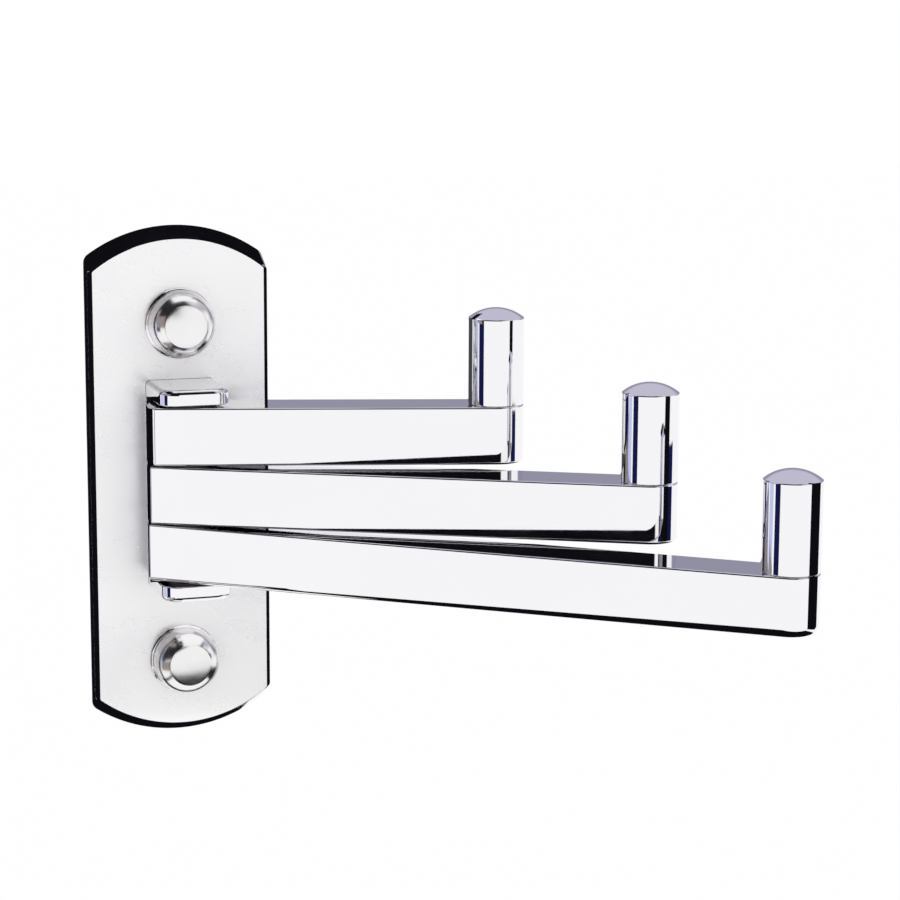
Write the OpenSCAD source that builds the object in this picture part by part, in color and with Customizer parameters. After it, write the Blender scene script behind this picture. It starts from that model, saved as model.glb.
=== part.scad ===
/* [Wall plate] */
// Width of the plate at the wall
plate_w = 39.5; // [38:0.5:60]
// Height of the plate from the top of one arched end to the other
plate_h = 112.8; // [104:0.2:150]
// Thickness of the plate
plate_t = 5; // [4.6:0.2:9]
// Radius of the arched ends at the wall
end_arc_r = 32.7; // [24:0.1:40]
// How far the arched ends lean in between the wall and the face
end_slope = 2.7; // [0.5:0.1:4]
// Bevel along the straight sides of the face
side_bevel = 0.95; // [0.3:0.05:2]
// Radius of the plate's four corners at the wall
corner_r = 2.3; // [0.5:0.1:4]
// Distance between the two wall screw holes
hole_spacing = 74.5; // [72:0.5:90]
// How far the pair of wall screw holes sits below the middle of the plate
hole_drop = 1.7; // [0:0.1:3]
// Diameter of the wall screw holes
wall_hole_d = 4.8; // [4:0.1:6]

/* [Arms] */
// Width of the square bar
bar_w = 12; // [10:0.5:14]
// Height of the square bar
bar_h = 12.4; // [10:0.2:14]
// Pivot to peg distance of the short arm
reach_short = 65; // [50:1:75]
// Pivot to peg distance of the middle arm
reach_middle = 98; // [90:1:110]
// Pivot to peg distance of the long arm
reach_long = 130.4; // [125:0.2:170]
// Angle of the short arm out from the wall as shown
angle_short = 15.4; // [0:0.1:80]
// Angle of the middle arm out from the wall as shown
angle_middle = 28.3; // [0:0.1:80]
// Angle of the long arm out from the wall as shown
angle_long = 38.2; // [0:0.1:80]
// Radius of the arms' inner ends about the pivot
tail_r = 9.5; // [7.5:0.1:9.7]
// Bevel along the lower edges of the bars
lower_bevel = 0.8; // [0.5:0.1:2.5]
// Bevel along the upper edges of the bars
upper_bevel = 0.4; // [0.2:0.1:1.5]

/* [Pivot and yoke] */
// Distance from the face of the yoke's web to the pivot axis
pivot_out = 10.1; // [9.2:0.1:14.6]
// Height of the middle arm's centre above the middle of the plate
stack_lift = 0.5; // [0:0.1:2]
// Diameter of the pivot pin
pivot_d = 6; // [5:0.5:8]
// Width of the yoke that holds the pin
yoke_w = 15.2; // [13:0.2:18]
// Thickness of the two lugs of the yoke
lug_t = 3.4; // [2.8:0.2:5]
// How far the lugs reach past the pivot axis
lug_reach = 6.2; // [5:0.2:9]
// Radius of the lugs' front corners
lug_corner_r = 4; // [2:0.5:6]
// Radius of the lugs' outer edges
lug_edge_r = 1.2; // [0.5:0.1:2]
// Thickness of the yoke's web against the plate
web_t = 3; // [3:0.1:4]
// Depth of the pocket in the plate that takes the web
pocket_d = 2.4; // [1.6:0.1:2.6]
// Thickness of the washers between the arms
washer_t = 0.35; // [0.2:0.05:1]
// Diameter of the washers
washer_d = 11; // [9:0.5:12]

/* [Pegs] */
// Diameter of the pegs
peg_d = 12; // [9:0.5:13]
// Height of a peg's straight side above the arm
peg_h = 18.5; // [12:0.5:30]
// Height of the domed top of a peg
peg_crown = 2.15; // [1:0.05:4]

/* [Screw caps] */
// Diameter of the seat ring under a cap
seat_d = 15.4; // [15:0.1:18]
// Thickness of the seat ring on the plate
seat_t = 0.8; // [0.6:0.1:1.5]
// Outer diameter of the snap rim that holds a cap
rim_d = 12.4; // [12:0.1:12.8]
// Height of the snap rim above the seat ring
rim_h = 2.2; // [1.5:0.1:3]
// Outer diameter of a cap
cap_d = 14.4; // [14:0.1:15]
// Height of a cap above its seat ring
cap_h = 6.6; // [5.8:0.1:10]
// Radius of a cap's rounded shoulder
cap_shoulder_r = 4.6; // [3.5:0.1:5]

/* [Hidden] */

// running clearance around the pin, play above and below each arm, room around the arms' inner ends,
// and the fit of fixed pieces
run_clear = 0.05;
axial_play = 0.04;
tail_clear = 0.35;
seat_clear = 0.02;
washer_clear = 0.15;
snap_clear = 0.05;
pocket_clear = 0.05;
overrun = 1;

// countersunk screws that hold the yoke and the pegs
screw_d = 4;
screw_head_d = 7.6;
screw_head_h = (screw_head_d - screw_d) / 2;
screw_clear = 0.15;
head_clear = 0.05;
head_recess = 0.2;
tip_clear = 0.3;
hex_across = 2.9;
hex_depth = 1.5;
yoke_screw_spacing_share = 0.62;
peg_grip = 7;

// pivot pin ends
pin_blind_depth = 2.2;
pin_end_clear = 0.1;
slot_w = 1.2;
slot_depth = 1.2;

// pegs and caps
peg_foot_bevel = 0.25;
spigot_d = 10;
spigot_h = 1.5;
rim_wall = 1.4;
cap_wall = 0.9;
cap_foot_gap = 0.05;
wall_head_d = 8.8;

// worked out from the sizes above
bar_pitch = bar_h + washer_t + 2 * axial_play;
stack_h = 3 * bar_h + 4 * washer_t + 8 * axial_play;
web_back_y = -(plate_t - pocket_d);
web_front_y = web_back_y - web_t;
pivot_y = web_front_y - pivot_out;
relief_r = tail_r + tail_clear;
web_mid_y = max(web_front_y, pivot_y + relief_r);
lug_front_y = pivot_y - lug_reach;
lug_in_z = stack_h / 2;
lug_out_z = lug_in_z + lug_t;
yoke_screw_z = yoke_screw_spacing_share * stack_h / 2;
washer_pitch = bar_h / 2 + axial_play + washer_t / 2;
crown_r = (peg_d * peg_d / 4 + peg_crown * peg_crown) / (2 * peg_crown);
peg_tap_depth = peg_grip + tip_clear;
cap_inner_r = rim_d / 2 + snap_clear;
cap_nose_r = cap_d / 2 - cap_shoulder_r;
cap_inner_shoulder_r = min(cap_h - cap_wall - rim_h, cap_shoulder_r - cap_wall);
cap_inner_nose_r = cap_inner_r - cap_inner_shoulder_r;
wall_sink_h = (wall_head_d - wall_hole_d) / 2;

module rounded_outline(w, h, r) {
    square([w, h - 2 * r], center = true);
    square([w - 2 * r, h], center = true);
    for (i = [-1, 1], j = [-1, 1])
        translate([i * (w / 2 - r), j * (h / 2 - r)]) circle(r, $fn = 48);
}

// a countersunk screw that points up, with the middle of its head's face at the origin
module sunk_screw(length) {
    difference() {
        union() {
            cylinder(h = screw_head_h, r1 = screw_head_d / 2, r2 = screw_d / 2, $fn = 48);
            cylinder(h = length, d = screw_d, $fn = 48);
        }
        translate([0, 0, -overrun]) cylinder(h = hex_depth + overrun, d = hex_across, $fn = 6);
    }
}

// the hole that such a screw goes through, from its face upwards
module sunk_hole(depth) {
    head_r = screw_head_d / 2 + head_clear;
    translate([0, 0, -overrun]) cylinder(h = depth + 2 * overrun, d = screw_d + 2 * screw_clear, $fn = 48);
    translate([0, 0, -overrun]) cylinder(h = overrun + head_recess, r = head_r, $fn = 48);
    translate([0, 0, head_recess])
        cylinder(h = screw_head_h, r1 = head_r, r2 = screw_d / 2 + head_clear, $fn = 48);
}

module tapped_hole(depth) {
    translate([0, 0, -overrun]) cylinder(h = depth + overrun, d = screw_d + 2 * seat_clear, $fn = 48);
}

module at_wall_holes(side) {
    translate([0, 0, side * hole_spacing / 2 - hole_drop]) children();
}

module at_yoke_screws() {
    for (s = [-1, 1]) translate([0, 0, stack_lift + s * yoke_screw_z]) rotate([90, 0, 0]) children();
}

// what the rounded corners leave off where the arched ends meet the straight sides
module corner_cuts() {
    corner_x = plate_w / 2 - corner_r;
    corner_z = sqrt(pow(end_arc_r - corner_r, 2) - pow(corner_x, 2));
    cut = 2 * corner_r + overrun;
    for (i = [0, 1], j = [0, 1]) mirror([i, 0, 0]) mirror([0, 0, j])
        translate([corner_x, overrun, plate_h / 2 - end_arc_r + corner_z]) rotate([90, 0, 0])
            linear_extrude(plate_t + 2 * overrun) difference() {
                polygon([[0, 0], [cut, 0], [cut, cut], cut * [corner_x, corner_z] / (end_arc_r - corner_r)]);
                circle(corner_r, $fn = 48);
            }
}

module wall_plate() {
    arc_z = plate_h / 2 - end_arc_r;
    color("silver") difference() {
        intersection() {
            linear_extrude(plate_h + 2 * overrun, center = true) polygon([
                [-plate_w / 2, 0], [plate_w / 2, 0],
                [plate_w / 2, side_bevel - plate_t], [plate_w / 2 - side_bevel, -plate_t],
                [side_bevel - plate_w / 2, -plate_t], [-plate_w / 2, side_bevel - plate_t]]);
            union() {
                for (s = [-1, 1]) translate([0, 0, s * arc_z]) rotate([90, 0, 0])
                    cylinder(h = plate_t, r1 = end_arc_r, r2 = end_arc_r - end_slope, $fn = 180);
                translate([0, -plate_t / 2, 0]) cube([plate_w, plate_t, 2 * arc_z], center = true);
            }
        }
        for (s = [-1, 1]) at_wall_holes(s) rotate([90, 0, 0]) {
            translate([0, 0, -overrun]) cylinder(h = plate_t + 2 * overrun, d = wall_hole_d, $fn = 64);
            translate([0, 0, plate_t - spigot_h - tip_clear])
                cylinder(h = spigot_h + tip_clear + overrun, d = spigot_d + 2 * seat_clear, $fn = 64);
        }
        translate([0, 0, stack_lift]) rotate([90, 0, 0]) translate([0, 0, plate_t - pocket_d])
            linear_extrude(pocket_d + overrun)
                rounded_outline(yoke_w + 2 * pocket_clear, 2 * (lug_out_z + pocket_clear),
                    lug_edge_r + pocket_clear);
        at_yoke_screws() sunk_hole(plate_t);
        corner_cuts();
    }
}

module yoke() {
    color("gainsboro") difference() {
        translate([0, 0, stack_lift]) intersection() {
            rotate([90, 0, 90]) linear_extrude(yoke_w, center = true) polygon([
                [web_back_y, -lug_out_z], [lug_front_y, -lug_out_z], [lug_front_y, -lug_in_z],
                [web_front_y, -lug_in_z], [web_front_y, lug_in_z], [lug_front_y, lug_in_z],
                [lug_front_y, lug_out_z], [web_back_y, lug_out_z]]);
            linear_extrude(2 * lug_out_z + overrun, center = true) union() {
                translate([-yoke_w / 2, lug_front_y + lug_corner_r])
                    square([yoke_w, web_back_y - lug_front_y - lug_corner_r]);
                translate([lug_corner_r - yoke_w / 2, lug_front_y])
                    square([yoke_w - 2 * lug_corner_r, lug_corner_r]);
                for (s = [-1, 1]) translate([s * (yoke_w / 2 - lug_corner_r), lug_front_y + lug_corner_r])
                    circle(lug_corner_r, $fn = 64);
            }
            rotate([90, 0, 0]) linear_extrude(-lug_front_y + overrun)
                rounded_outline(yoke_w, 2 * lug_out_z, lug_edge_r);
        }
        translate([0, pivot_y, stack_lift]) {
            translate([0, 0, -lug_out_z - overrun])
                cylinder(h = lug_t + 2 * overrun, d = pivot_d + 2 * seat_clear, $fn = 64);
            translate([0, 0, lug_in_z - overrun])
                cylinder(h = pin_blind_depth + overrun, d = pivot_d + 2 * seat_clear, $fn = 64);
            // the web is hollowed where the arms' inner ends would come near it
            cylinder(h = stack_h - washer_t, r = relief_r, center = true, $fn = 96);
        }
        at_yoke_screws() translate([0, 0, -web_back_y]) tapped_hole(web_t + overrun);
    }
}

module yoke_screws() {
    color("dimgray") at_yoke_screws() translate([0, 0, head_recess])
        sunk_screw(-web_mid_y - tip_clear - head_recess);
}

module pivot_pin() {
    pin_h = 2 * lug_in_z + lug_t - head_recess + pin_blind_depth - pin_end_clear;
    color("dimgray") translate([0, pivot_y, stack_lift - lug_out_z + head_recess]) difference() {
        cylinder(h = pin_h, d = pivot_d, $fn = 64);
        translate([0, 0, (slot_depth - overrun) / 2])
            cube([pivot_d + overrun, slot_w, slot_depth + overrun], center = true);
    }
}

module washer(z) {
    color("black") translate([0, pivot_y, stack_lift + z]) difference() {
        cylinder(h = washer_t, d = washer_d, center = true, $fn = 64);
        cylinder(h = washer_t + overrun, d = pivot_d + 2 * washer_clear, center = true, $fn = 64);
    }
}

module washer_top() washer(bar_pitch + washer_pitch);
module washer_upper() washer(washer_pitch);
module washer_lower() washer(washer_pitch - bar_pitch);
module washer_bottom() washer(-bar_pitch - washer_pitch);

// half of the bar's outline, from its middle out
function half_bar() = [
    [0, -bar_h / 2], [bar_w / 2 - lower_bevel, -bar_h / 2], [bar_w / 2, lower_bevel - bar_h / 2],
    [bar_w / 2, bar_h / 2 - upper_bevel], [bar_w / 2 - upper_bevel, bar_h / 2], [0, bar_h / 2]];

module bar(length) {
    rotate([90, 0, 90]) linear_extrude(length) union() {
        polygon(half_bar());
        mirror([1, 0]) polygon(half_bar());
    }
}

// puts its children on the arm of this level, with the pivot at their origin
module on_arm(level, angle) {
    translate([0, pivot_y, stack_lift + level * bar_pitch]) rotate([0, 0, -angle]) children();
}

module arm(reach) {
    difference() {
        union() {
            bar(reach);
            intersection() {
                mirror([1, 0, 0]) bar(tail_r);
                cylinder(h = bar_h, r = tail_r, center = true, $fn = 96);
            }
            translate([reach, 0, 0]) rotate_extrude($fn = 96) polygon(half_bar());
        }
        cylinder(h = bar_h + overrun, d = pivot_d + 2 * run_clear, center = true, $fn = 64);
        translate([reach, 0, -bar_h / 2]) sunk_hole(bar_h);
    }
}

module peg(reach) {
    translate([reach, 0, bar_h / 2]) difference() {
        rotate_extrude($fn = 96) union() {
            polygon([
                [0, 0], [peg_d / 2 - peg_foot_bevel, 0], [peg_d / 2, peg_foot_bevel],
                [peg_d / 2, peg_h], [0, peg_h]]);
            intersection() {
                translate([0, peg_h + peg_crown - crown_r]) circle(crown_r, $fn = 96);
                translate([0, peg_h]) square([peg_d / 2, peg_crown + overrun]);
            }
        }
        tapped_hole(peg_tap_depth);
    }
}

module peg_screw(reach) {
    translate([reach, 0, head_recess - bar_h / 2]) sunk_screw(bar_h - head_recess + peg_grip);
}

module arm_short() color("lightsteelblue") on_arm(1, angle_short) arm(reach_short);
module arm_middle() color("lightsteelblue") on_arm(0, angle_middle) arm(reach_middle);
module arm_long() color("lightsteelblue") on_arm(-1, angle_long) arm(reach_long);
module peg_short() color("lavender") on_arm(1, angle_short) peg(reach_short);
module peg_middle() color("lavender") on_arm(0, angle_middle) peg(reach_middle);
module peg_long() color("lavender") on_arm(-1, angle_long) peg(reach_long);
module peg_screw_short() color("dimgray") on_arm(1, angle_short) peg_screw(reach_short);
module peg_screw_middle() color("dimgray") on_arm(0, angle_middle) peg_screw(reach_middle);
module peg_screw_long() color("dimgray") on_arm(-1, angle_long) peg_screw(reach_long);

// a seat ring, pressed into the plate, with its snap rim and the sink for the wall screw's head
module cap_seat() {
    translate([0, -plate_t, 0]) rotate([90, 0, 0]) difference() {
        union() {
            translate([0, 0, -spigot_h]) cylinder(h = spigot_h + seat_t, d = spigot_d, $fn = 64);
            cylinder(h = seat_t, d = seat_d, $fn = 96);
            cylinder(h = seat_t + rim_h, d = rim_d, $fn = 96);
        }
        translate([0, 0, -spigot_h - overrun])
            cylinder(h = spigot_h + seat_t + 2 * overrun, d = wall_hole_d, $fn = 64);
        translate([0, 0, seat_t - wall_sink_h])
            cylinder(h = wall_sink_h, d1 = wall_hole_d, d2 = wall_head_d, $fn = 64);
        translate([0, 0, seat_t]) cylinder(h = rim_h + overrun, d = rim_d - 2 * rim_wall, $fn = 64);
    }
}

// half of a cap's outline: a straight skirt, a rounded shoulder and a flat nose
module cap_outline(side_r, shoulder_r, nose_r, h) {
    square([side_r, h - shoulder_r]);
    square([nose_r, h]);
    intersection() {
        translate([nose_r, h - shoulder_r]) circle(shoulder_r, $fn = 96);
        square([side_r, h]);
    }
}

module cap() {
    translate([0, -plate_t - seat_t, 0]) rotate([90, 0, 0]) difference() {
        rotate_extrude($fn = 96) difference() {
            cap_outline(cap_d / 2, cap_shoulder_r, cap_nose_r, cap_h);
            square([cap_d / 2, cap_foot_gap]);
        }
        rotate_extrude($fn = 96)
            cap_outline(cap_inner_r, cap_inner_shoulder_r, cap_inner_nose_r, cap_h - cap_wall);
    }
}

module cap_seat_upper() color("silver") at_wall_holes(1) cap_seat();
module cap_seat_lower() color("silver") at_wall_holes(-1) cap_seat();
module cap_upper() color("whitesmoke") at_wall_holes(1) cap();
module cap_lower() color("whitesmoke") at_wall_holes(-1) cap();

wall_plate();
yoke();
yoke_screws();
pivot_pin();
washer_top();
washer_upper();
washer_lower();
washer_bottom();
arm_short();
arm_middle();
arm_long();
peg_short();
peg_middle();
peg_long();
peg_screw_short();
peg_screw_middle();
peg_screw_long();
cap_seat_upper();
cap_seat_lower();
cap_upper();
cap_lower();
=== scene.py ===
import math

import bmesh
import bpy
from mathutils import Matrix, Vector


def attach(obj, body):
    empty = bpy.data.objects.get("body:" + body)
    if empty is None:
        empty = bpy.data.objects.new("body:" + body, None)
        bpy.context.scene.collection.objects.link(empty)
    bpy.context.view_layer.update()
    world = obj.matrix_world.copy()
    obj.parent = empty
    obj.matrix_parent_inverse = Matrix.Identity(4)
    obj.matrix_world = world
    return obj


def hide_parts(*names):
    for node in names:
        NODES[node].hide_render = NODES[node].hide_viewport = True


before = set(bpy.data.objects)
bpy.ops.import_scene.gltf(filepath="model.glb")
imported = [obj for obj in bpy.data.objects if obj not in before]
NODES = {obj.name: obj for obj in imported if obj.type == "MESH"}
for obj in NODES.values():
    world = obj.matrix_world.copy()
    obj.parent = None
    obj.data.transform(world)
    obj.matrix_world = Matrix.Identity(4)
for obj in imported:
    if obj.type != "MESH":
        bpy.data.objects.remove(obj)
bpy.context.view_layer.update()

MM = 0.001

# ---------------------------------------------------------------- sizes in millimetres, as in part.scad

PLATE_W, PLATE_H, PLATE_T = 39.5, 112.8, 5.0
END_ARC_R, END_SLOPE, SIDE_BEVEL = 32.7, 2.7, 0.95
PLATE_CORNER_R, FACE_CORNER_R = 2.3, 0.5
HOLE_SPACING, HOLE_DROP, WALL_HOLE_D = 74.5, 1.7, 4.8
BORE_PLAY, PIN_HOLE_PLAY, WEB_PLAY, SPIGOT_GAP = 0.02, 0.05, 0.05, 0.3
TAPPED_D, SCREW_NECK_R = 4.04, 2.05
SPIGOT_D, SPIGOT_H = 10.0, 1.5
BAR_W, BAR_H, TAIL_R = 12.0, 12.4, 9.5
UPPER_EDGE_R, TAIL_EDGE_R = 0.4, 0.45
WASHER_T, AXIAL_PLAY, STACK_LIFT = 0.35, 0.04, 0.5
BAR_PITCH = BAR_H + WASHER_T + 2 * AXIAL_PLAY
STACK_H = 3 * BAR_H + 4 * WASHER_T + 8 * AXIAL_PLAY
WEB_T, POCKET_D, PIVOT_OUT, PIVOT_D = 3.0, 2.4, 10.1, 6.0
YOKE_W, LUG_T, LUG_REACH = 15.2, 3.4, 6.2
LUG_CORNER_R, LUG_EDGE_R, LUG_INNER_EDGE_R = 4.0, 1.2, 0.25
WEB_BACK_Y = -(PLATE_T - POCKET_D)
WEB_FRONT_Y = WEB_BACK_Y - WEB_T
PIVOT_Y = WEB_FRONT_Y - PIVOT_OUT
LUG_FRONT_Y = PIVOT_Y - LUG_REACH
LUG_IN_Z = STACK_H / 2
LUG_OUT_Z = LUG_IN_Z + LUG_T
PEG_R, PEG_H, PEG_CROWN, PEG_TAP_D, PEG_TAP_DEPTH = 6.0, 18.5, 2.15, 4.04, 7.3
SCREW_HOLE_D, SCREW_HEAD_R, HEAD_RECESS, SCREW_HEAD_H = 4.3, 3.85, 0.2, 1.8
YOKE_SCREW_Z = 0.62 * STACK_H / 2
SEAT_D, SEAT_T, RIM_D, RIM_H, RIM_WALL, WALL_SINK_D = 15.4, 0.8, 12.4, 2.2, 1.4, 8.8
CAP_R, CAP_H, CAP_SHOULDER_R, CAP_INNER_R, CAP_WALL, CAP_FOOT = 7.2, 6.6, 4.6, 6.25, 0.9, 0.05
CAP_NOSE_R, CAP_STEP_R, CAP_STEP_H = 4.25, 4.6, 0.16

# name of each arm: level in the stack, angle from the wall, reach, and the radius of the round on its
# lower edge, at the pivot and at the peg
ARMS = {
    "short": (1, 15.4, 65.0, 0.45, 0.6),
    "middle": (0, 28.3, 98.0, 0.45, 0.7),
    "long": (-1, 38.2, 130.4, 1.0, 2.1),
}


# ---------------------------------------------------------------- mesh helpers

def add_object(name, mesh):
    made = bpy.data.objects.new(name, mesh)
    bpy.context.scene.collection.objects.link(made)
    return made


def mesh_from(name, points, faces):
    """A mesh from points in millimetres."""
    mesh = bpy.data.meshes.new(name)
    mesh.from_pydata([(x * MM, y * MM, z * MM) for x, y, z in points], [], faces)
    mesh.validate()
    return mesh


def stacked_rings(name, rings):
    """A closed solid whose skin runs through rings of points, with a flat face at both ends."""
    count = len(rings[0])
    points = [p for ring in rings for p in ring]
    faces = []
    for k in range(len(rings) - 1):
        low, high = k * count, (k + 1) * count
        for i in range(count):
            j = (i + 1) % count
            faces.append((low + i, low + j, high + j, high + i))
    faces.append(tuple(reversed(range(count))))
    faces.append(tuple((len(rings) - 1) * count + i for i in range(count)))
    made = add_object(name, mesh_from(name, points, faces))
    turn_faces_out(made)
    return made


def turn_faces_out(made):
    bm = bmesh.new()
    bm.from_mesh(made.data)
    bmesh.ops.remove_doubles(bm, verts=bm.verts, dist=1e-7)
    bmesh.ops.recalc_face_normals(bm, faces=bm.faces)
    bm.to_mesh(made.data)
    bm.free()


def apply_modifiers(made):
    """Replaces an object's mesh by what its modifiers make, and removes the modifiers."""
    seen = made.evaluated_get(bpy.context.evaluated_depsgraph_get())
    done = bpy.data.meshes.new_from_object(seen)
    made.modifiers.clear()
    old = made.data
    made.data = done
    bpy.data.meshes.remove(old)
    return made


def combine(made, others, operation):
    """Cuts the other solids from a solid, or joins them to it."""
    for other in others:
        step = made.modifiers.new(operation.lower(), "BOOLEAN")
        step.operation, step.solver, step.object = operation, "EXACT", other
    apply_modifiers(made)
    for other in others:
        bpy.data.objects.remove(other)
    return made


def crisp_and_smooth(made, sharp_degrees=32):
    """Smooth faces with sharp edges where the skin really turns, and normals that keep the flats flat."""
    bm = bmesh.new()
    bm.from_mesh(made.data)
    limit = math.radians(sharp_degrees)
    for face in bm.faces:
        face.smooth = True
    for edge in bm.edges:
        edge.smooth = len(edge.link_faces) == 2 and edge.calc_face_angle(0.0) < limit
    bm.to_mesh(made.data)
    bm.free()
    weighted = made.modifiers.new("flats stay flat", "WEIGHTED_NORMAL")
    weighted.mode, weighted.weight, weighted.keep_sharp = "FACE_AREA", 100, True


def arc(cx, cy, r, start, end, steps):
    """Points on an arc between two angles in degrees, both ends included."""
    turns = [math.radians(start + (end - start) * i / steps) for i in range(steps + 1)]
    return [(cx + r * math.cos(t), cy + r * math.sin(t)) for t in turns]


# ---------------------------------------------------------------- node helpers

def node_in(tree, kind, links=None, **values):
    """A node with attributes, and with values for its sockets or links into them, by socket."""
    made = tree.nodes.new(kind)
    for key, value in values.items():
        setattr(made, key, value)
    for key, value in (links or {}).items():
        if hasattr(value, "is_output"):
            tree.links.new(value, made.inputs[key])
        else:
            made.inputs[key].default_value = value
    return made


def math_in(tree, operation, *given):
    """What a maths node makes of one or two values or sockets."""
    return node_in(tree, "ShaderNodeMath", dict(enumerate(given)), operation=operation).outputs[0]


# ---------------------------------------------------------------- turned pieces, made by Geometry Nodes

def turning_tree():
    """A profile in the XZ plane, turned about Z, tilted about X and set on its seat."""
    tree = bpy.data.node_groups.new("turned on an axis", "GeometryNodeTree")
    face = tree.interface
    face.new_socket("Profile", in_out="INPUT", socket_type="NodeSocketGeometry")
    steps = face.new_socket("Steps", in_out="INPUT", socket_type="NodeSocketInt")
    steps.default_value, steps.min_value = 96, 3
    face.new_socket("Tilt", in_out="INPUT", socket_type="NodeSocketFloat")
    face.new_socket("Seat", in_out="INPUT", socket_type="NodeSocketVector")
    face.new_socket("Finish", in_out="INPUT", socket_type="NodeSocketMaterial")
    face.new_socket("Turned", in_out="OUTPUT", socket_type="NodeSocketGeometry")
    given = node_in(tree, "NodeGroupInput").outputs
    size = node_in(tree, "GeometryNodeAttributeDomainSize", {0: given["Profile"]}, component="MESH")
    rows = size.outputs["Point Count"]
    # a grid whose columns are the steps of the turn and whose rows are the points of the profile
    grid = node_in(tree, "GeometryNodeMeshGrid", {
        "Size X": 1.0, "Size Y": 1.0, "Vertices X": math_in(tree, "ADD", given["Steps"], 1.0),
        "Vertices Y": rows})
    position = node_in(tree, "GeometryNodeInputPosition").outputs[0]
    place = node_in(tree, "ShaderNodeSeparateXYZ", {0: position})
    last_row = math_in(tree, "SUBTRACT", rows, 1.0)
    share_up = math_in(tree, "ADD", place.outputs["Y"], 0.5)
    row = math_in(tree, "ROUND", math_in(tree, "MULTIPLY", share_up, last_row))
    angle = math_in(tree, "MULTIPLY", math_in(tree, "ADD", place.outputs["X"], 0.5), math.tau)
    sample = node_in(tree, "GeometryNodeSampleIndex", {
        "Geometry": given["Profile"], "Value": position, "Index": row}, data_type="FLOAT_VECTOR")
    spun = node_in(tree, "ShaderNodeVectorRotate", {
        "Vector": sample.outputs["Value"], "Angle": angle}, rotation_type="Z_AXIS")
    moved = node_in(tree, "GeometryNodeSetPosition", {
        "Geometry": grid.outputs["Mesh"], "Position": spun.outputs["Vector"]})
    merged = node_in(tree, "GeometryNodeMergeByDistance", {
        "Geometry": moved.outputs["Geometry"], "Distance": 1e-7})
    tilt = node_in(tree, "ShaderNodeCombineXYZ", {"X": given["Tilt"]})
    seated = node_in(tree, "GeometryNodeTransform", {
        "Geometry": merged.outputs["Geometry"], "Translation": given["Seat"], "Rotation": tilt.outputs[0]})
    real = node_in(tree, "GeometryNodeRealizeInstances", {"Geometry": seated.outputs["Geometry"]})
    finished = node_in(tree, "GeometryNodeSetMaterial", {
        "Geometry": real.outputs["Geometry"], "Material": given["Finish"]})
    node_in(tree, "NodeGroupOutput", {"Turned": finished.outputs["Geometry"]})
    return tree


TURNING = turning_tree()


def turned(name, profile, seat, towards_room=False, steps=96, material=None):
    """A solid of revolution from (radius, height) points; it stands up, or points into the room."""
    mesh = bpy.data.meshes.new(name)
    edges = [(i, i + 1) for i in range(len(profile) - 1)]
    mesh.from_pydata([(r * MM, 0, h * MM) for r, h in profile], edges, [])
    made = add_object(name, mesh)
    step = made.modifiers.new("turned", "NODES")
    step.node_group = TURNING
    values = {
        "Steps": steps,
        "Tilt": math.radians(90) if towards_room else 0.0,
        "Seat": [v * MM for v in seat],
        "Finish": material,
    }
    for item in TURNING.interface.items_tree:
        if item.in_out == "INPUT" and item.name in values:
            step[item.identifier] = values[item.name]
    apply_modifiers(made)
    turn_faces_out(made)
    return made


# ---------------------------------------------------------------- effects that several finishes share

def shader_group(name, inputs, output, build):
    group = bpy.data.node_groups.new(name, "ShaderNodeTree")
    for label, kind, value in inputs:
        socket = group.interface.new_socket(label, in_out="INPUT", socket_type="NodeSocket" + kind)
        if value is not None:
            socket.default_value = value
    group.interface.new_socket(output[0], in_out="OUTPUT", socket_type="NodeSocket" + output[1])
    given, out = group.nodes.new("NodeGroupInput"), group.nodes.new("NodeGroupOutput")
    group.links.new(build(group, given.outputs), out.inputs[0])
    return group


def plating_tone(group, given):
    """Slow drift between the clear plating colour and a slightly cooler cloud."""
    noise = node_in(group, "ShaderNodeTexNoise", {
        "Vector": given["Vector"], "Scale": given["Scale"], "Detail": 3.0, "Roughness": 0.55})
    amount = math_in(group, "MULTIPLY", noise.outputs["Fac"], given["Amount"])
    mixed = node_in(group, "ShaderNodeMix", {"Factor": amount, 6: given["Plating"], 7: given["Cloud"]},
                    data_type="RGBA")
    return mixed.outputs[2]


def rubbed_haze(group, given):
    """Roughness that goes from clean to hazed in soft patches, with a few fine wiping streaks."""
    patches = node_in(group, "ShaderNodeTexNoise", {
        "Vector": given["Vector"], "Scale": given["Patch Scale"], "Detail": 4.0, "Roughness": 0.6})
    soft = node_in(group, "ShaderNodeMapRange", {
        "Value": patches.outputs["Fac"], "From Min": 0.38, "From Max": 0.72},
        interpolation_type="SMOOTHSTEP")
    stretch = node_in(group, "ShaderNodeMapping", {"Vector": given["Vector"], "Scale": (1.0, 1.0, 14.0)})
    streaks = node_in(group, "ShaderNodeTexNoise", {
        "Vector": stretch.outputs[0], "Scale": given["Streak Scale"], "Detail": 2.0})
    fine = node_in(group, "ShaderNodeMapRange", {
        "Value": streaks.outputs["Fac"], "From Min": 0.55, "From Max": 0.8, "To Max": 0.35})
    total = node_in(group, "ShaderNodeMath", {0: soft.outputs[0], 1: fine.outputs[0]}, operation="ADD",
                    use_clamp=True)
    rough = node_in(group, "ShaderNodeMapRange", {
        "Value": total.outputs[0], "To Min": given["Clean"], "To Max": given["Hazed"]})
    return rough.outputs[0]


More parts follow.
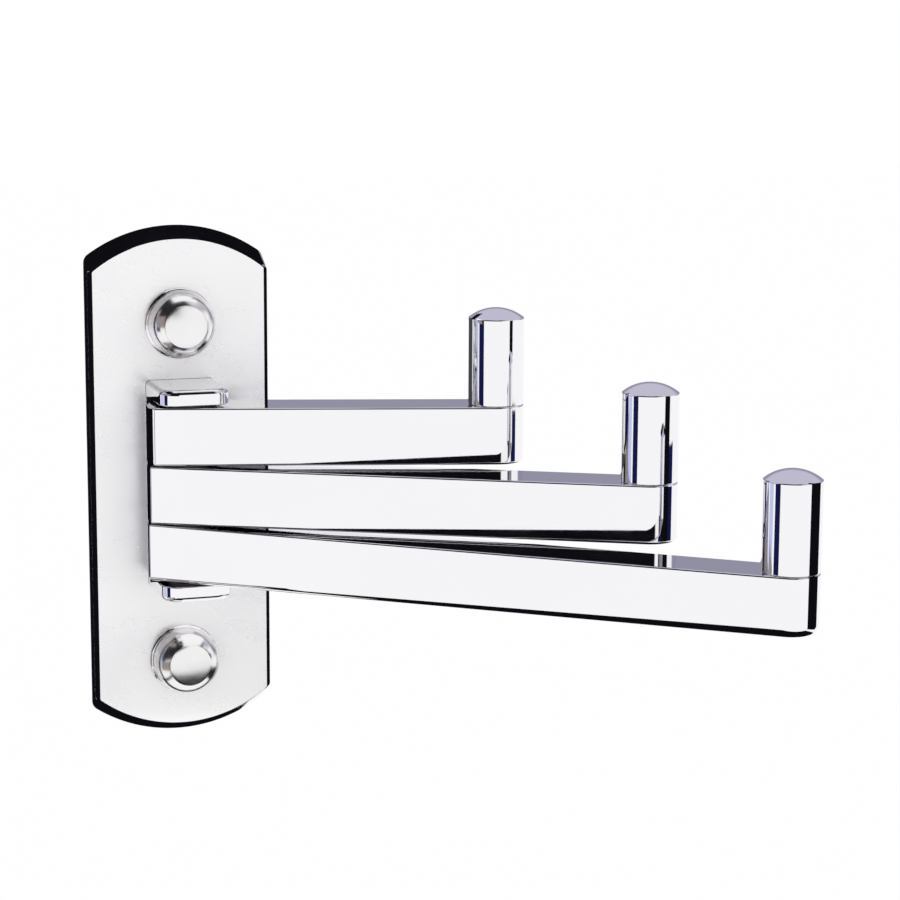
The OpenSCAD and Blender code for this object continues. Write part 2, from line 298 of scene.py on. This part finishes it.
def buffed_waves(group, given):
    """Height of the slow waves that a buffing wheel leaves, plus hairline marks along its way."""
    waves = node_in(group, "ShaderNodeTexNoise", {
        "Vector": given["Vector"], "Scale": given["Wave Scale"], "Detail": 1.0})
    stretch = node_in(group, "ShaderNodeMapping", {"Vector": given["Vector"], "Scale": (1.0, 1.0, 30.0)})
    hairs = node_in(group, "ShaderNodeTexNoise", {
        "Vector": stretch.outputs[0], "Scale": given["Hair Scale"], "Detail": 2.0})
    share = math_in(group, "MULTIPLY", hairs.outputs["Fac"], given["Hair Share"])
    return math_in(group, "ADD", waves.outputs["Fac"], share)


TONE = shader_group("plating tone", [
    ("Vector", "Vector", None), ("Scale", "Float", 40.0), ("Plating", "Color", None),
    ("Cloud", "Color", None), ("Amount", "Float", 0.5)], ("Tone", "Color"), plating_tone)
HAZE = shader_group("rubbed haze", [
    ("Vector", "Vector", None), ("Patch Scale", "Float", 90.0), ("Streak Scale", "Float", 60.0),
    ("Clean", "Float", 0.03), ("Hazed", "Float", 0.07)], ("Roughness", "Float"), rubbed_haze)
WAVES = shader_group("buffed waves", [
    ("Vector", "Vector", None), ("Wave Scale", "Float", 70.0), ("Hair Scale", "Float", 400.0),
    ("Hair Share", "Float", 0.02)], ("Height", "Float"), buffed_waves)


def finish(name, plating, cloud, amount, clean, hazed, wave_scale, wave_height, hair_share=0.02,
           metallic=1.0):
    """A metal or plastic finish: tone, haze and buffing waves read from the piece's own place.

    clean and hazed are the roughness in clean and rubbed places; wave_height is in millimetres.
    """
    made = bpy.data.materials.new(name)
    made.use_nodes = True
    tree = made.node_tree
    shader = tree.nodes["Principled BSDF"]
    place = tree.nodes.new("ShaderNodeTexCoord").outputs["Object"]
    shader.inputs["Metallic"].default_value = metallic

    def placed(group, **values):
        node = tree.nodes.new("ShaderNodeGroup")
        node.node_tree = group
        tree.links.new(place, node.inputs["Vector"])
        for key, value in values.items():
            node.inputs[key.replace("_", " ")].default_value = value
        return node.outputs[0]

    tone = placed(TONE, Plating=(*plating, 1), Cloud=(*cloud, 1), Amount=amount)
    tree.links.new(tone, shader.inputs["Base Color"])
    tree.links.new(placed(HAZE, Clean=clean, Hazed=hazed), shader.inputs["Roughness"])
    bump = tree.nodes.new("ShaderNodeBump")
    bump.inputs["Strength"].default_value = 1.0
    bump.inputs["Distance"].default_value = wave_height * MM
    tree.links.new(placed(WAVES, Wave_Scale=wave_scale, Hair_Share=hair_share), bump.inputs["Height"])
    tree.links.new(bump.outputs["Normal"], shader.inputs["Normal"])
    return made


CLEAR, COOL = (0.93, 0.925, 0.94), (0.88, 0.875, 0.92)
PLATE_CHROME = finish("plate chrome", CLEAR, COOL, 0.5, 0.03, 0.06, 25, 0.02)
# the plate's face is a pale satin, half way between paint and mirror
PLATE_FACE_CHROME = finish("plate face chrome", (0.975, 0.965, 0.975), (0.94, 0.93, 0.95), 0.6, 0.24, 0.3,
                           25, 0.02, metallic=0.5)
YOKE_CHROME = finish("yoke chrome", CLEAR, COOL, 0.5, 0.03, 0.07, 60, 0.02)
ARM_CHROME = finish("arm chrome", CLEAR, COOL, 0.5, 0.025, 0.06, 30, 0.015)
PEG_CHROME = finish("peg chrome", CLEAR, COOL, 0.6, 0.025, 0.06, 45, 0.03)
SEAT_CHROME = finish("seat chrome", CLEAR, COOL, 0.5, 0.06, 0.12, 60, 0.02)
CAP_CHROME = finish("cap chrome", (0.92, 0.91, 0.91), (0.86, 0.845, 0.85), 0.6, 0.17, 0.24, 90, 0.05)
PIN_STEEL = finish("ground pin steel", (0.62, 0.63, 0.65), (0.52, 0.53, 0.56), 0.7, 0.2, 0.34,
                   120, 0.02, hair_share=0.3)
SCREW_ZINC = finish("zinc plated screws", (0.60, 0.61, 0.64), (0.50, 0.52, 0.50), 0.9, 0.24, 0.4,
                    150, 0.02, hair_share=0.4)
WASHER_NYLON = finish("black nylon washers", (0.035, 0.035, 0.04), (0.022, 0.022, 0.025), 0.8, 0.45, 0.6,
                      200, 0.03, hair_share=0.5, metallic=0.0)


# ---------------------------------------------------------------- wall plate

def plate_ring(depth, half_w, arc_r, corner_r):
    """One level line of the plate: straight sides, arched ends and a rounded corner between them."""
    arc_z = PLATE_H / 2 - END_ARC_R
    cx = half_w - corner_r
    cz = math.sqrt((arc_r - corner_r) ** 2 - cx ** 2)
    turn = math.degrees(math.atan2(cz, cx))
    ring = [(x, arc_z + z) for x, z in arc(cx, cz, corner_r, 0, turn, 6)]
    ring += [(x, arc_z + z) for x, z in arc(0, 0, arc_r, turn, 180 - turn, 60)[1:-1]]
    ring += [(x, arc_z + z) for x, z in arc(-cx, cz, corner_r, 180 - turn, 180, 6)]
    ring += [(-x, -z) for x, z in ring]
    return [(x, -depth, z) for x, z in ring]


def build_plate():
    slope = END_SLOPE / PLATE_T
    half_w, edge = PLATE_W / 2, 0.05
    bevel_start = PLATE_T - SIDE_BEVEL

    def level(depth, inset):
        """One level line of the plate; inset is how far it stands in from the plain flats."""
        bevel = max(depth - bevel_start, 0.0)
        corner = PLATE_CORNER_R + (FACE_CORNER_R - PLATE_CORNER_R) * (depth / PLATE_T) ** 2
        return depth, half_w - bevel - inset, END_ARC_R - depth * slope - inset, corner

    levels = [(0.0, edge), (edge, 0.0), (bevel_start - edge, 0.0), (bevel_start, 0.3 * edge),
              (bevel_start + edge, 0.0), (PLATE_T - edge, 0.0), (PLATE_T, 0.6 * edge)]
    plate = stacked_rings("wall_plate_piece", [plate_ring(*level(*place)) for place in levels])
    cutters = []
    for side in (1, -1):
        z = side * HOLE_SPACING / 2 - HOLE_DROP
        bore_r, sink_r = WALL_HOLE_D / 2, SPIGOT_D / 2 + BORE_PLAY
        sink_z = PLATE_T - SPIGOT_H - SPIGOT_GAP
        cutters.append(turned("bore", [(0, -1), (bore_r, -1), (bore_r, sink_z), (sink_r, sink_z),
                                       (sink_r, PLATE_T + 1), (0, PLATE_T + 1)], (0, 0, z),
                              towards_room=True, steps=64))
        screw_seat = (0, 0, STACK_LIFT + side * YOKE_SCREW_Z)
        cutters.append(turned("sink", sunk_hole_profile(PLATE_T), screw_seat, towards_room=True, steps=48))
    pocket = rounded_rectangle(YOKE_W + 2 * WEB_PLAY, 2 * (LUG_OUT_Z + WEB_PLAY), LUG_EDGE_R + WEB_PLAY, 8)
    cutters.append(stacked_rings("pocket", [[(x, y, z + STACK_LIFT) for x, z in pocket]
                                            for y in (WEB_BACK_Y, -PLATE_T - 1)]))
    combine(plate, cutters, "DIFFERENCE")
    plate.data.materials.clear()
    plate.data.materials.append(PLATE_CHROME)
    plate.data.materials.append(PLATE_FACE_CHROME)
    for face in plate.data.polygons:
        in_front = face.normal.y < -0.999 and face.center.y < -(PLATE_T - 0.01) * MM
        face.material_index = 1 if in_front else 0
    crisp_and_smooth(plate)
    return plate


def rounded_rectangle(w, h, r, steps):
    """The corners' points of a rectangle round the origin, each corner a quarter round."""
    points = []
    for cx, cz, start in ((1, 1, 0), (-1, 1, 90), (-1, -1, 180), (1, -1, 270)):
        points += arc(cx * (w / 2 - r), cz * (h / 2 - r), r, start, start + 90, steps)
    return points


def sunk_hole_profile(depth):
    """Profile of the hole for a countersunk screw, from its face inwards."""
    r = SCREW_HOLE_D / 2
    head_end = HEAD_RECESS + SCREW_HEAD_H
    return [(0, -1), (SCREW_HEAD_R, -1), (SCREW_HEAD_R, HEAD_RECESS), (SCREW_NECK_R, head_end),
            (r, head_end), (r, depth + 1), (0, depth + 1)]


# ---------------------------------------------------------------- yoke

def lug_outline(inset):
    """A lug seen from above, drawn in by an inset, with rounded front corners."""
    w, r = YOKE_W / 2 - inset, max(LUG_CORNER_R - inset, 0.3)
    front, back = LUG_FRONT_Y + inset, WEB_BACK_Y - inset
    points = arc(-w + r, front + r, r, 180, 270, 12)
    points += arc(w - r, front + r, r, 270, 360, 12)
    back_r = 0.2
    points += arc(w - back_r, back - back_r, back_r, 0, 90, 3)
    points += arc(-w + back_r, back - back_r, back_r, 90, 180, 3)
    return points


def rolled_edge(r, steps=6):
    """(inset, drop) pairs over a quarter round edge, from the side to the flat."""
    return [(r * (1 - math.cos(t)), r * (1 - math.sin(t)))
            for t in (math.pi / 2 * i / steps for i in range(steps + 1))]


def lug(name, inner_z, outer_z):
    """A lug with a small round on its arm side and a larger one on its outer side."""
    side = 1 if outer_z > inner_z else -1
    levels = [(inset, inner_z + side * drop) for inset, drop in reversed(rolled_edge(LUG_INNER_EDGE_R, 3))]
    levels += [(inset, outer_z - side * drop) for inset, drop in rolled_edge(LUG_EDGE_R, 8)]
    return stacked_rings(name, [[(x, y, z + STACK_LIFT) for x, y in lug_outline(inset)]
                                for inset, z in levels])


def build_yoke():
    yoke = lug("yoke_piece", LUG_IN_Z, LUG_OUT_Z)
    lower = lug("lower lug", -LUG_IN_Z, -LUG_OUT_Z)
    w, reach = YOKE_W / 2, LUG_IN_Z + LUG_T / 2
    section = ((-w, WEB_FRONT_Y), (w, WEB_FRONT_Y), (w, WEB_BACK_Y), (-w, WEB_BACK_Y))
    web = stacked_rings("web", [[(x, y, z + STACK_LIFT) for x, y in section] for z in (-reach, reach)])
    combine(yoke, [lower, web], "UNION")
    blind_depth, tap_start, tap_end = 2.2, 2, 8

    def plain_bore(name, r, start, end, seat, towards_room, steps):
        return turned(name, [(0, start), (r, start), (r, end), (0, end)], seat, towards_room, steps)

    pin_r, pin_seat = PIVOT_D / 2 + BORE_PLAY, (0, PIVOT_Y, STACK_LIFT)
    cutters = [
        plain_bore("through", pin_r, -LUG_OUT_Z - 1, -LUG_IN_Z + 1, pin_seat, False, 64),
        plain_bore("blind", pin_r, LUG_IN_Z - 1, LUG_IN_Z + blind_depth, pin_seat, False, 64),
    ]
    for side in (1, -1):
        screw_seat = (0, 0, STACK_LIFT + side * YOKE_SCREW_Z)
        cutters.append(plain_bore("tapped", TAPPED_D / 2, tap_start, tap_end, screw_seat, True, 48))
    combine(yoke, cutters, "DIFFERENCE")
    yoke.data.materials.clear()
    yoke.data.materials.append(YOKE_CHROME)
    crisp_and_smooth(yoke)
    return yoke


# ---------------------------------------------------------------- arms

def arm_outline(reach):
    """The bar seen from above: (x, y, normal x, normal y) along its whole edge, tail first."""
    half = BAR_W / 2
    e = TAIL_EDGE_R
    # the tail's vertical edges are rounded: circles that touch the side and the tail's arc from inside
    ex, ey = -math.sqrt((TAIL_R - e) ** 2 - (half - e) ** 2), half - e
    edge_turn = math.degrees(math.atan2(ey, -ex))
    path = []

    def add_arc(cx, cy, r, start, end, steps):
        for i in range(steps + 1):
            t = math.radians(start + (end - start) * i / steps)
            path.append((cx + r * math.cos(t), cy + r * math.sin(t), math.cos(t), math.sin(t)))

    add_arc(0, 0, TAIL_R, 180 - edge_turn, 180 + edge_turn, 20)
    add_arc(ex, -ey, e, 180 + edge_turn, 270, 6)
    steps = 24
    for i in range(1, steps):
        path.append((ex + (reach - ex) * i / steps, -half, 0, -1))
    add_arc(reach, 0, half, -90, 90, 48)
    for i in range(1, steps):
        path.append((reach + (ex - reach) * i / steps, half, 0, 1))
    add_arc(ex, ey, e, 90, 180 - edge_turn, 6)
    tidy = []
    for point in path:
        if not tidy or math.dist(point[:2], tidy[-1][:2]) > 1e-4:
            tidy.append(point)
    if math.dist(tidy[0][:2], tidy[-1][:2]) < 1e-4:
        tidy.pop()
    return tidy


def edge_round(x, reach, at_pivot, at_peg):
    """Radius of the lower edge's round at a place along the bar."""
    share = min(max(x / reach, 0.0), 1.0)
    return at_pivot + (at_peg - at_pivot) * share


def build_arm(name, level, angle, reach, at_pivot, at_peg):
    outline = arm_outline(reach)
    turn = Matrix.Rotation(math.radians(-angle), 3, "Z")
    seat = Vector((0, PIVOT_Y, STACK_LIFT + level * BAR_PITCH))
    rings = []

    def ring(inset_and_height):
        points = []
        for x, y, nx, ny in outline:
            inset, z = inset_and_height(edge_round(x, reach, at_pivot, at_peg))
            points.append(tuple(turn @ Vector((x - nx * inset, y - ny * inset, z)) + seat))
        rings.append(points)

    steps = 8
    for i in range(steps + 1):
        t = math.pi / 2 * i / steps
        ring(lambda r, t=t: (r * (1 - math.sin(t)), -BAR_H / 2 + r * (1 - math.cos(t))))
    top, upper = BAR_H / 2, UPPER_EDGE_R
    for i in range(5):
        t = math.pi / 2 * i / 4
        ring(lambda r, t=t: (upper * (1 - math.cos(t)), top - upper * (1 - math.sin(t))))
    arm = stacked_rings(f"arm_{name}_piece", rings)
    peg_seat = turn @ Vector((reach, 0, -BAR_H / 2)) + seat
    pin_r = PIVOT_D / 2 + PIN_HOLE_PLAY
    cutters = [
        turned("pin hole", [(0, -BAR_H), (pin_r, -BAR_H), (pin_r, BAR_H), (0, BAR_H)], seat, steps=64),
        turned("screw hole", sunk_hole_profile(BAR_H), peg_seat, steps=64),
    ]
    combine(arm, cutters, "DIFFERENCE")
    arm.data.materials.clear()
    arm.data.materials.append(ARM_CHROME)
    crisp_and_smooth(arm)
    return arm


# ---------------------------------------------------------------- pegs, seats and caps

def build_peg(name, level, angle, reach):
    foot, rim = 0.25, 0.35
    crown_r = (PEG_R ** 2 + PEG_CROWN ** 2) / (2 * PEG_CROWN)
    crown_z = PEG_H + PEG_CROWN - crown_r
    # the rim's small round touches the side and the crown from inside
    rim_x = PEG_R - rim
    rim_z = crown_z + math.sqrt((crown_r - rim) ** 2 - rim_x ** 2)
    rim_turn = math.degrees(math.atan2(rim_z - crown_z, rim_x))
    tap = PEG_TAP_D / 2
    profile = [(0, PEG_TAP_DEPTH), (tap, PEG_TAP_DEPTH), (tap, 0), (PEG_R - foot, 0)]
    profile += arc(PEG_R - foot, foot, foot, -90, 0, 4)[1:]
    # rows up the side keep its faces short
    profile += [(PEG_R, z) for z in (4, 8, 12, 15, 17)]
    profile += arc(rim_x, rim_z, rim, 0, rim_turn, 6)
    profile += arc(0, crown_z, crown_r, rim_turn, 90, 20)[1:-1] + [(0, crown_z + crown_r)]
    seat = (Matrix.Rotation(math.radians(-angle), 3, "Z") @ Vector((reach, 0, 0))
            + Vector((0, PIVOT_Y, STACK_LIFT + level * BAR_PITCH + BAR_H / 2)))
    peg = turned(f"peg_{name}_piece", profile, seat, steps=128, material=PEG_CHROME)
    crisp_and_smooth(peg, sharp_degrees=40)
    return peg


def build_seat(name, z):
    edge, outer_edge = 0.2, 0.55
    profile = [(WALL_HOLE_D / 2, -SPIGOT_H), (SPIGOT_D / 2, -SPIGOT_H), (SPIGOT_D / 2, 0),
               (SEAT_D / 2 - 0.05, 0), (SEAT_D / 2, 0.05)]
    profile += arc(SEAT_D / 2 - outer_edge, SEAT_T - outer_edge, outer_edge, 0, 90, 8)
    profile += [(RIM_D / 2, SEAT_T)]
    profile += arc(RIM_D / 2 - edge, SEAT_T + RIM_H - edge, edge, 0, 90, 4)
    inner_r, hole_r, sink_r = RIM_D / 2 - RIM_WALL, WALL_HOLE_D / 2, WALL_SINK_D / 2
    profile += [(inner_r, SEAT_T + RIM_H), (inner_r, SEAT_T), (sink_r, SEAT_T),
                (hole_r, SEAT_T - (sink_r - hole_r)), (hole_r, -SPIGOT_H)]
    seat = turned(f"cap_seat_{name}_piece", profile, (0, -PLATE_T, z), towards_room=True,
                  material=SEAT_CHROME)
    crisp_and_smooth(seat)
    return seat


def build_cap(name, z):
    nose = CAP_R - CAP_SHOULDER_R
    shoulder_z = CAP_H - CAP_SHOULDER_R
    inner_r = min(CAP_H - CAP_WALL - RIM_H, CAP_SHOULDER_R - CAP_WALL)
    inner_top = CAP_H - CAP_WALL
    profile = [(0, inner_top), (CAP_INNER_R - inner_r, inner_top)]
    profile += arc(CAP_INNER_R - inner_r, inner_top - inner_r, inner_r, 90, 0, 10)[1:]
    edge, step_w, lip_h = 0.1, 0.3, 0.09
    profile += [(CAP_INNER_R, CAP_FOOT), (CAP_R - edge, CAP_FOOT), (CAP_R, CAP_FOOT + edge), (CAP_R, 1.0)]
    # the shoulder ends at a faint ring, then a shallow nose begins
    end = math.degrees(math.acos((CAP_STEP_R - nose) / CAP_SHOULDER_R))
    profile += arc(nose, shoulder_z, CAP_SHOULDER_R, 0, end, 20)
    step_z = profile[-1][1]
    nose_z = step_z + CAP_STEP_H
    profile += [(CAP_NOSE_R + step_w, step_z + lip_h), (CAP_NOSE_R, nose_z)]
    nose_steps = 14
    for i in range(1, nose_steps + 1):
        left = 1 - i / nose_steps
        profile.append((CAP_NOSE_R * left, nose_z + (CAP_H - nose_z) * (1 - left ** 2)))
    cap = turned(f"cap_{name}_piece", profile, (0, -PLATE_T - SEAT_T, z), towards_room=True,
                 material=CAP_CHROME)
    crisp_and_smooth(cap)
    return cap


# ---------------------------------------------------------------- the object

def show(piece, body, node):
    """Puts a piece on its body in the place of the part's node."""
    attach(piece, body)
    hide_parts(node)


show(build_plate(), "base", "wall_plate")
show(build_yoke(), "base", "yoke")
for arm_name, (level, angle, reach, at_pivot, at_peg) in ARMS.items():
    body = f"{arm_name}_arm"
    arm = build_arm(arm_name, level, angle, reach, at_pivot, at_peg)
    show(arm, body, f"arm_{arm_name}")
    show(build_peg(arm_name, level, angle, reach), body, f"peg_{arm_name}")
for cap_name, side in (("upper", 1), ("lower", -1)):
    cap_z = side * HOLE_SPACING / 2 - HOLE_DROP
    show(build_seat(cap_name, cap_z), "base", f"cap_seat_{cap_name}")
    show(build_cap(cap_name, cap_z), f"{cap_name}_cap", f"cap_{cap_name}")

for node_name, cad in NODES.items():
    if "screw" in node_name:
        better = SCREW_ZINC
    elif node_name == "pivot_pin":
        better = PIN_STEEL
    elif node_name.startswith("washer"):
        better = WASHER_NYLON
    else:
        continue
    cad.data.materials.clear()
    cad.data.materials.append(better)


# ---------------------------------------------------------------- camera

CAMERA_PLACE = (-112.27, -532.52, 104.1)
CAMERA_YAW, CAMERA_PITCH, CAMERA_ROLL = 18.25, 10.16, 0.30


def place_camera():
    """The photograph's view, from the left and a little above."""
    yaw, pitch, roll = (math.radians(a) for a in (CAMERA_YAW, CAMERA_PITCH, CAMERA_ROLL))
    ahead = Vector((math.sin(yaw) * math.cos(pitch), math.cos(yaw) * math.cos(pitch), -math.sin(pitch)))
    right = Vector((math.cos(yaw), -math.sin(yaw), 0))
    down = ahead.cross(right)
    across = math.cos(roll) * right - math.sin(roll) * down
    below = math.sin(roll) * right + math.cos(roll) * down
    lens = bpy.data.cameras.new("camera")
    lens.lens, lens.sensor_width = 100, 36
    lens.clip_start, lens.clip_end = 0.01, 50
    camera = bpy.data.objects.new("camera", lens)
    bpy.context.scene.collection.objects.link(camera)
    camera.matrix_world = Matrix((
        (across.x, -below.x, -ahead.x, CAMERA_PLACE[0] * MM),
        (across.y, -below.y, -ahead.y, CAMERA_PLACE[1] * MM),
        (across.z, -below.z, -ahead.z, CAMERA_PLACE[2] * MM),
        (0, 0, 0, 1)))
    bpy.context.scene.camera = camera


place_camera()


# ---------------------------------------------------------------- studio

def glow_material(name, colour, one_sided):
    """A plain glow, which a one-sided card shows only on its face."""
    made = bpy.data.materials.new(name)
    made.use_nodes = True
    tree = made.node_tree
    tree.nodes.clear()
    shown = node_in(tree, "ShaderNodeEmission", {"Color": (*colour, 1)}).outputs[0]
    if one_sided:
        back = node_in(tree, "ShaderNodeNewGeometry").outputs["Backfacing"]
        clear = node_in(tree, "ShaderNodeBsdfTransparent").outputs[0]
        shown = node_in(tree, "ShaderNodeMixShader", {0: back, 1: shown, 2: clear}).outputs[0]
    node_in(tree, "ShaderNodeOutputMaterial", {"Surface": shown})
    return made


def panel(name, centre, facing, w, h, colour, one_sided=False):
    """A card of the studio that only reflections see; facing is a point that it looks at.

    A one-sided card doesn't show from behind.
    """
    centre, facing = Vector(centre), Vector(facing)
    look = (facing - centre).normalized()
    side = Vector((0, 0, 1)).cross(look)
    side = side.normalized() if side.length > 1e-3 else Vector((1, 0, 0))
    up = look.cross(side)
    corners = [centre + side * (i * w / 2) + up * (j * h / 2)
               for i, j in ((-1, -1), (1, -1), (1, 1), (-1, 1))]
    card = add_object(name, mesh_from(name, [tuple(c) for c in corners], [(0, 1, 2, 3)]))
    card.data.materials.append(glow_material(name, colour, one_sided))
    card.visible_camera = card.visible_diffuse = card.visible_shadow = False
    card.visible_volume_scatter = False


BLACK, NAVY = (0.004, 0.004, 0.006), (0.008, 0.010, 0.06)
WHITE, GREY, LAVENDER = (1, 1, 1), (0.30, 0.29, 0.38), (0.56, 0.54, 0.66)
UMBER = (0.30, 0.26, 0.25)
SKY_BLUE, SLATE = (0.55, 0.60, 0.85), (0.06, 0.06, 0.07)

# (name, centre, what it faces, width, height, colour), in the order in which they hang round the object
CARDS = [
    # bands down the left of the pegs
    ("navy flag far left", (-1108, -227, -130), (80, -60, -130), 466, 400, NAVY),
    ("blue panel left", (-380, 100, -40), (80, -60, 0), 170, 240, SKY_BLUE),
    ("grey flag behind left", (-90, 200, 50), (-90, 0, 50), 220, 420, SLATE),
    # the black outline of the plate
    ("left rim flag", (-22.5, -5, 0), (0, -5, 0), 5, 160, BLACK),
    ("left wall flag", (-27, 6, 0), (-27, -60, 0), 13, 160, BLACK),
    # lines down the right of the pegs and round the arms' ends
    ("black flag right", (139, -115, 20), (60, -115, 20), 39, 110, BLACK),
    ("navy card low right", (192, -117, -28), (75, -60, -28), 69, 46, NAVY),
    # lights and darks on the lugs and caps
    ("black hood", (9, 17, 72), (9, 17, 0), 98, 31, BLACK),
    ("cap hood left", (-33, -13, 71), (-33, -13, 0), 38, 28, BLACK),
    ("cap softbox", (12, -10, 85), (12, -10, 0), 56, 32, WHITE),
    ("upper cap side card", (-62, -38, 44), (0, -12, 40), 62, 36, UMBER),
    ("lower cap side card", (-62, -38, -54), (0, -12, -40), 62, 30, UMBER),
    ("upper cap strip", (-42, -58, 46), (0, -12, 38), 9, 44, BLACK),
    ("lower cap strip", (-42, -58, -60), (0, -12, -40), 9, 44, BLACK),
    ("lower cap top card", (4.5, -16, -26), (4.5, -16, -60), 15, 16, WHITE),
    ("lower cap floor card", (2, -19, -62), (2, -19, 0), 44, 24, WHITE),
    # the dark strip under the long arm
    ("black floor flag", (75, -55, -140), (75, -55, 0), 350, 390, BLACK),
]
# cards so close to the object that it would mirror their backs too
ONE_SIDED_CARDS = [
    ("right rim flag", (22, -3.6, 0), (12.7, 0.1, 0), 4.4, 160, BLACK),
    ("arm ends card", (-12.4, -6.6, -0.5), (-12.4, -60, -0.5), 14.6, 41, BLACK),
]
for card in CARDS:
    panel(*card)
for card in ONE_SIDED_CARDS:
    panel(*card, one_sided=True)


def studio_world():
    """White to the camera; reflections show a dark ceiling in front and a grey one behind."""
    world = bpy.data.worlds.new("studio")
    bpy.context.scene.world = world
    world.use_nodes = True
    tree = world.node_tree
    tree.nodes.clear()
    place = node_in(tree, "ShaderNodeTexCoord").outputs["Generated"]
    way = node_in(tree, "ShaderNodeSeparateXYZ", {0: place}).outputs
    smoke, mist = (0.42, 0.41, 0.44), (0.72, 0.71, 0.74)
    haze, dusk = (0.86, 0.85, 0.92), (0.70, 0.68, 0.80)

    def ramp(stops):
        """Colour by height of the direction: z from -1 to 1."""
        share = node_in(tree, "ShaderNodeMapRange", {"Value": way["Z"], "From Min": -1, "From Max": 1})
        made = node_in(tree, "ShaderNodeValToRGB", {0: share.outputs[0]})
        made.color_ramp.interpolation = "LINEAR"
        while len(made.color_ramp.elements) < len(stops):
            made.color_ramp.elements.new(0.5)
        for element, (z, colour) in zip(made.color_ramp.elements, stops):
            element.position = (z + 1) / 2
            element.color = (*colour, 1)
        return made.outputs["Color"]

    def blend(value, low, high, first, second):
        """Goes from the first colour to the second as a value goes from low to high."""
        share = node_in(tree, "ShaderNodeMapRange", {"Value": value, "From Min": low, "From Max": high})
        made = node_in(tree, "ShaderNodeMix", {"Factor": share.outputs[0], 6: first, 7: second},
                       data_type="RGBA")
        return made.outputs[2]

    # the dark ceiling comes lower on the left of the room, and turns pale on its far right
    front_left = ramp([(-1, WHITE), (0.03, WHITE), (0.06, BLACK), (0.90, BLACK), (0.96, LAVENDER)])
    front_right = ramp([(-1, WHITE), (0.30, WHITE), (0.36, BLACK), (0.94, BLACK), (0.98, LAVENDER)])
    far_right = ramp([(-1, WHITE), (0.30, WHITE), (0.48, smoke), (0.80, mist), (0.94, LAVENDER)])
    behind = ramp([(-1, WHITE), (-0.25, haze), (0.0, dusk), (0.06, GREY), (0.30, GREY), (0.50, LAVENDER)])
    # where the blends start and end, to the right of the way straight out from the wall
    right_from, right_to, far_from, far_to = (math.radians(a) for a in (4, 8, 26, 38))
    turn = math_in(tree, "ARCTAN2", way["X"], math_in(tree, "MULTIPLY", way["Y"], -1.0))
    front = blend(turn, right_from, right_to, front_left, front_right)
    front = blend(turn, far_from, far_to, front, far_right)
    wall_blend = 0.08
    studio = blend(way["Y"], -wall_blend, wall_blend, front, behind)
    mirrored = node_in(tree, "ShaderNodeLightPath").outputs["Is Glossy Ray"]
    seen = node_in(tree, "ShaderNodeMix", {"Factor": mirrored, 6: (*WHITE, 1), 7: studio}, data_type="RGBA")
    ground = node_in(tree, "ShaderNodeBackground", {"Color": seen.outputs[2], "Strength": 1.0})
    node_in(tree, "ShaderNodeOutputWorld", {"Surface": ground.outputs[0]})


studio_world()


def lay_floor():
    """A pale floor that shows nearly white to the camera and to reflections, and keeps a soft shadow."""
    half, z, whiteness = 6000, -350, 0.75
    corners = [(-half, -half, z), (half, -half, z), (half, half, z), (-half, half, z)]
    floor = add_object("floor", mesh_from("floor", corners, [(0, 1, 2, 3)]))
    made = bpy.data.materials.new("pale floor")
    made.use_nodes = True
    tree = made.node_tree
    tree.nodes.clear()
    path = node_in(tree, "ShaderNodeLightPath").outputs
    mirrored = math_in(tree, "MAXIMUM", path["Is Glossy Ray"], path["Is Transmission Ray"])
    white = math_in(tree, "MAXIMUM", path["Is Camera Ray"], mirrored)
    share = math_in(tree, "MULTIPLY", white, whiteness)
    pale = node_in(tree, "ShaderNodeBsdfDiffuse", {"Color": (0.98, 0.98, 0.98, 1)})
    glow = node_in(tree, "ShaderNodeEmission")
    mixed = node_in(tree, "ShaderNodeMixShader", {0: share, 1: pale.outputs[0], 2: glow.outputs[0]})
    node_in(tree, "ShaderNodeOutputMaterial", {"Surface": mixed.outputs[0]})
    floor.data.materials.append(made)


lay_floor()


def hang_softbox():
    """A wide soft lamp above the front right, aimed at the middle of the object."""
    lamp = bpy.data.lights.new("softbox", "AREA")
    lamp.shape, lamp.size, lamp.size_y = "RECTANGLE", 0.9, 0.7
    lamp.energy = 0.12
    box = bpy.data.objects.new("softbox", lamp)
    bpy.context.scene.collection.objects.link(box)
    aim = Vector((0.04, -0.04, 0))
    box.location = (0.30, -0.42, 0.62)
    box.rotation_mode = "QUATERNION"
    box.rotation_quaternion = (aim - box.location).to_track_quat("-Z", "Y")
    box.visible_camera = box.visible_glossy = False


hang_softbox()

bpy.context.scene.view_settings.view_transform = "Standard"
